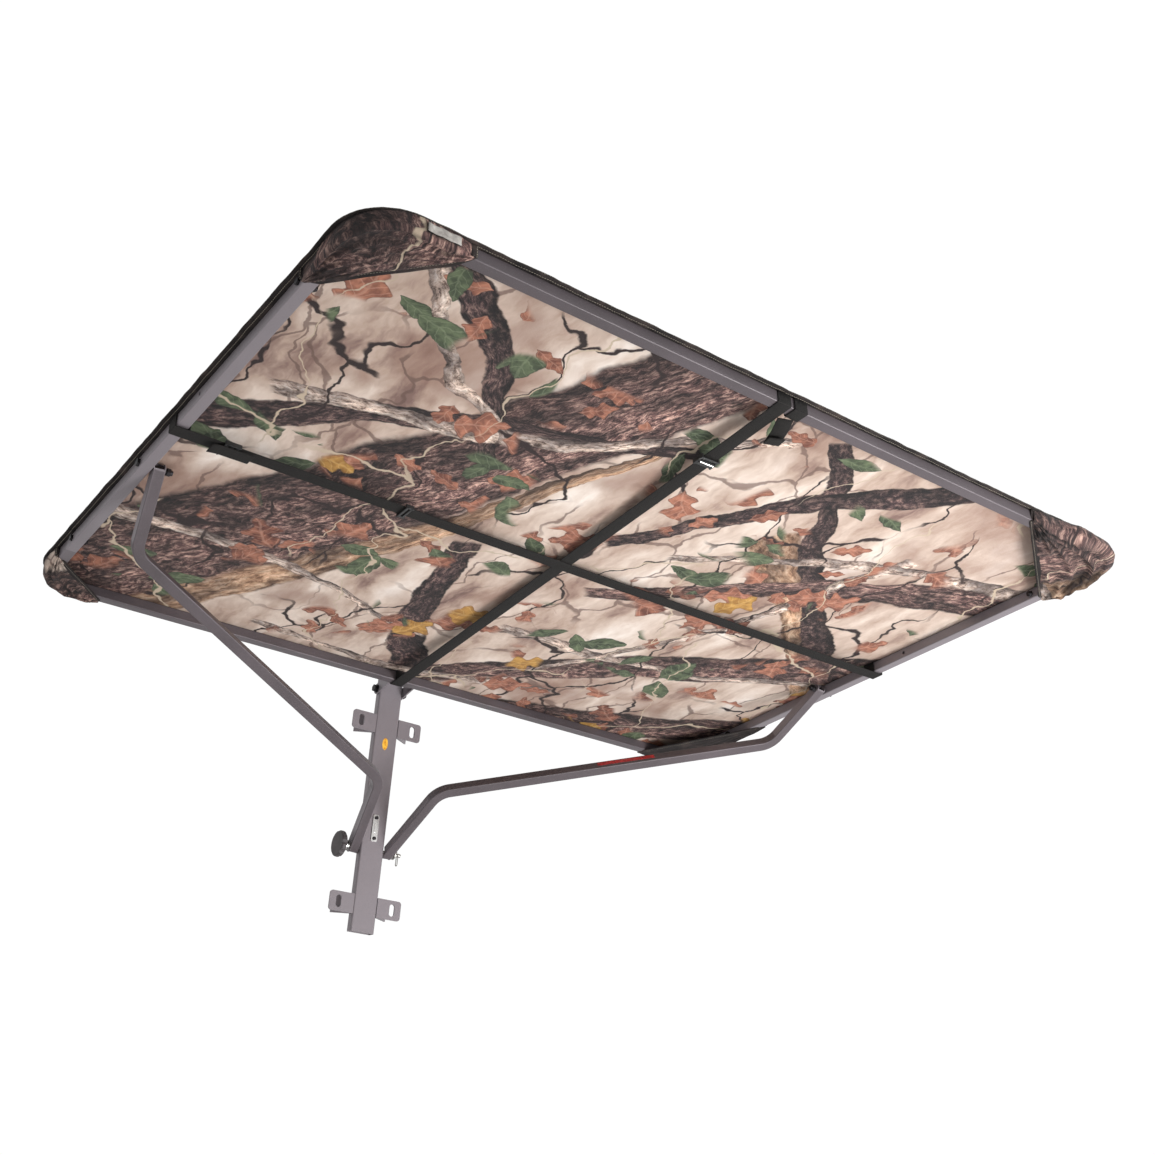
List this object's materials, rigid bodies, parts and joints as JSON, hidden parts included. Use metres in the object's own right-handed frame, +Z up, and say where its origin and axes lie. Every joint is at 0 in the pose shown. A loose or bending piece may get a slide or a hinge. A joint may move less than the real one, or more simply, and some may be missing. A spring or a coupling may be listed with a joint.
{
  "type": "tree stand roof",
  "caption": "Folding camouflage roof for a tree stand: square-tube frame with stretched cover and crossed straps, hinged on a trunk post and held by two bent braces",
  "frame": {"origin": "centre of the post's rear face, which rests against the trunk", "axes": "+Z up along the post, +Y from the trunk to the roof's front edge, X left-right"},
  "size_m": [1.479, 1.2169, 0.6415],
  "materials": {
    "frame_steel": "powder coat, satin",
    "bright_steel": "polished",
    "zinc_steel": "zinc plated, dull",
    "dark_steel": "black oxide",
    "knob_plastic": "moulded, matt",
    "camo_fabric": "printed woven polyester, matt",
    "hem_fabric": "folded and stitched binding, matt",
    "webbing": "ribbed nylon webbing",
    "buckle_plastic": "moulded, satin",
    "red_label": "blank printed vinyl",
    "amber_label": "blank printed vinyl",
    "pale_label": "blank woven patch"
  },
  "bodies": {
    "post": {"post_tube": "frame_steel", "upper_tree_bracket": "frame_steel", "lower_tree_bracket": "frame_steel", "level_plate": "bright_steel", "level_screws": "dark_steel", "post_sticker": "amber_label"},
    "roof": {"hinge_bracket": "frame_steel", "hinge_bolt": "dark_steel", "hinge_nut": "dark_steel", "rear_rail": "frame_steel", "front_rail": "frame_steel", "left_rail": "frame_steel", "right_rail": "frame_steel", "frame_bolts": "dark_steel", "frame_nuts": "dark_steel", "brace_bolts": "dark_steel", "brace_nuts": "dark_steel", "cover_panel": "camo_fabric", "cover_hem": "hem_fabric", "front_left_pocket": "camo_fabric", "front_right_pocket": "camo_fabric", "rear_left_pocket": "camo_fabric", "rear_right_pocket": "camo_fabric", "pocket_bindings": "hem_fabric", "blank_tag": "pale_label", "long_strap": "webbing", "long_strap_wrap": "webbing", "cross_strap": "webbing"},
    "left_arm": {"left_brace": "frame_steel"},
    "right_arm": {"right_brace": "frame_steel", "brace_label": "red_label"},
    "clamp_knob": {"knob": "knob_plastic", "knob_hub": "bright_steel", "stud": "zinc_steel", "stud_washers": "zinc_steel"},
    "hairpin": {"spring_pin": "zinc_steel"},
    "long_adjuster": {"long_buckle": "buckle_plastic", "long_buckle_bar": "bright_steel"},
    "cross_adjuster": {"cross_buckle": "buckle_plastic", "strap_tail": "webbing"},
    "cross_keeper": {"cross_slider": "buckle_plastic"}
  },
  "joints": [
    {"name": "roof_fold", "type": "hinge", "parent": "post", "child": "roof", "pos_m": [0, 0.0085, 0.227], "axis": [1, 0, 0], "range_deg": [-64, 0]},
    {"name": "left_arm_swing", "type": "hinge", "parent": "roof", "child": "left_arm", "pos_m": [0.6, 0.50849, 0.29292], "axis": [1, 0, 0], "range_deg": [0, 128]},
    {"name": "right_arm_swing", "type": "hinge", "parent": "roof", "child": "right_arm", "pos_m": [-0.6, 0.50849, 0.29292], "axis": [1, 0, 0], "range_deg": [0, 128]},
    {"name": "knob_turn", "type": "hinge", "parent": "post", "child": "clamp_knob", "pos_m": [0, 0.0085, -0.092], "axis": [1, 0, 0], "continuous": true},
    {"name": "hairpin_pull", "type": "slide", "parent": "clamp_knob", "child": "hairpin", "axis": [0, 0, -1], "range_m": [0, 0.03]},
    {"name": "long_adjuster_slide", "type": "slide", "parent": "roof", "child": "long_adjuster", "axis": [0.04, 0.9918, 0.1218], "range_m": [-0.25, 0.06]},
    {"name": "cross_adjuster_slide", "type": "slide", "parent": "roof", "child": "cross_adjuster", "axis": [1, 0, 0], "range_m": [-0.08, 0.025]},
    {"name": "cross_keeper_slide", "type": "slide", "parent": "roof", "child": "cross_keeper", "axis": [1, 0, 0], "range_m": [-0.2, 0.15]}
  ],
  "couplings": [
    {"joint": "left_arm_swing", "follows": "roof_fold", "ratio": -2},
    {"joint": "right_arm_swing", "follows": "roof_fold", "ratio": -2}
  ]
}
